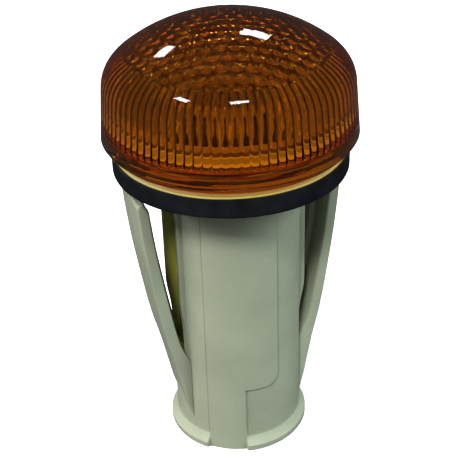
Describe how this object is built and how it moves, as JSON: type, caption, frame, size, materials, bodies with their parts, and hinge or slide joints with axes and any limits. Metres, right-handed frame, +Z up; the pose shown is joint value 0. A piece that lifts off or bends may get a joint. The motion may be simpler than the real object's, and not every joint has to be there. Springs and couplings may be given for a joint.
{
  "type": "turn signal indicator",
  "caption": "Snap-in round signal lamp: amber screw-on lens over a cream housing with a rubber panel gasket, springy snap arms and a sprung bayonet bulb holder.",
  "frame": {"origin": "centre of the foot's underside, the plane the lamp stands on", "axes": "+Z up the stem towards the lens, X to the right and Y away from the viewer; the raised panel on the stem faces -Y and the snap arms lie 19 degrees round from X"},
  "size_m": [0.05, 0.05, 0.092],
  "materials": {
    "amber_lens": "clear amber, glossy outside, ribbed inside",
    "seal_rubber": "matt",
    "housing_plastic": "cream nylon, faint moulding grain",
    "gasket_rubber": "satin",
    "reflector_silver": "silvered",
    "carrier_plastic": "moulded",
    "holder_steel": "zinc plated",
    "insulator_board": "brown laminated board",
    "terminal_brass": "plain",
    "plunger_plastic": "moulded",
    "spring_steel": "bright wire",
    "bulb_glass": "clear",
    "cap_metal": "nickel plated",
    "insulator_glass": "dark, glossy",
    "solder": "dull solder",
    "lead_wire": "drawn wire"
  },
  "bodies": {
    "housing": {"housing": "housing_plastic", "panel_gasket": "gasket_rubber", "reflector": "reflector_silver", "holder_carrier": "carrier_plastic", "holder_shell": "holder_steel", "holder_insulator": "insulator_board", "live_terminal": "terminal_brass", "earth_terminal": "terminal_brass", "terminal_rivets": "terminal_brass", "contact_spring": "spring_steel"},
    "lens_seal": {"lens_seal": "seal_rubber"},
    "lens": {"lens": "amber_lens"},
    "snap_arm_left": {"snap_arm_left": "housing_plastic"},
    "snap_arm_right": {"snap_arm_right": "housing_plastic"},
    "bulb": {"bulb_glass": "bulb_glass", "bulb_cap": "cap_metal", "bulb_pins": "cap_metal", "bulb_insulator": "insulator_glass", "bulb_contact": "solder", "bulb_stem": "bulb_glass", "filament_posts": "lead_wire", "filament": "lead_wire"},
    "plunger": {"plunger": "plunger_plastic", "plunger_disc": "terminal_brass"}
  },
  "joints": [
    {"name": "lens_rise", "type": "slide", "parent": "housing", "child": "lens_seal", "axis": [0, 0, 1], "range_m": [0, 0.0038]},
    {"name": "lens_unscrew", "type": "hinge", "parent": "lens_seal", "child": "lens", "pos_m": [0, 0, 0.066], "axis": [0, 0, 1], "range_deg": [0, 540]},
    {"name": "snap_arm_right_flex", "type": "hinge", "parent": "housing", "child": "snap_arm_right", "pos_m": [0.01371, 0.00472, 0.0213], "axis": [0.3256, -0.9455, 0], "range_deg": [0, 6], "stiffness_Nm_per_rad": 1},
    {"name": "snap_arm_left_flex", "type": "hinge", "parent": "housing", "child": "snap_arm_left", "pos_m": [-0.01371, -0.00472, 0.0213], "axis": [-0.3256, 0.9455, 0], "range_deg": [0, 6], "stiffness_Nm_per_rad": 1},
    {"name": "bulb_press", "type": "slide", "parent": "housing", "child": "bulb", "axis": [0, 0, 1], "range_m": [-0.002, 0], "stiffness_N_per_m": 1200, "springref_m": 0.001},
    {"name": "plunger_travel", "type": "slide", "parent": "housing", "child": "plunger", "axis": [0, 0, 1], "range_m": [-0.002, 0], "deforming": ["contact_spring"]}
  ],
  "couplings": [
    {"joint": "lens_rise", "follows": "lens_unscrew", "m_per_rad": 0.00039789},
    {"joint": "plunger_travel", "follows": "bulb_press", "ratio": 1}
  ]
}
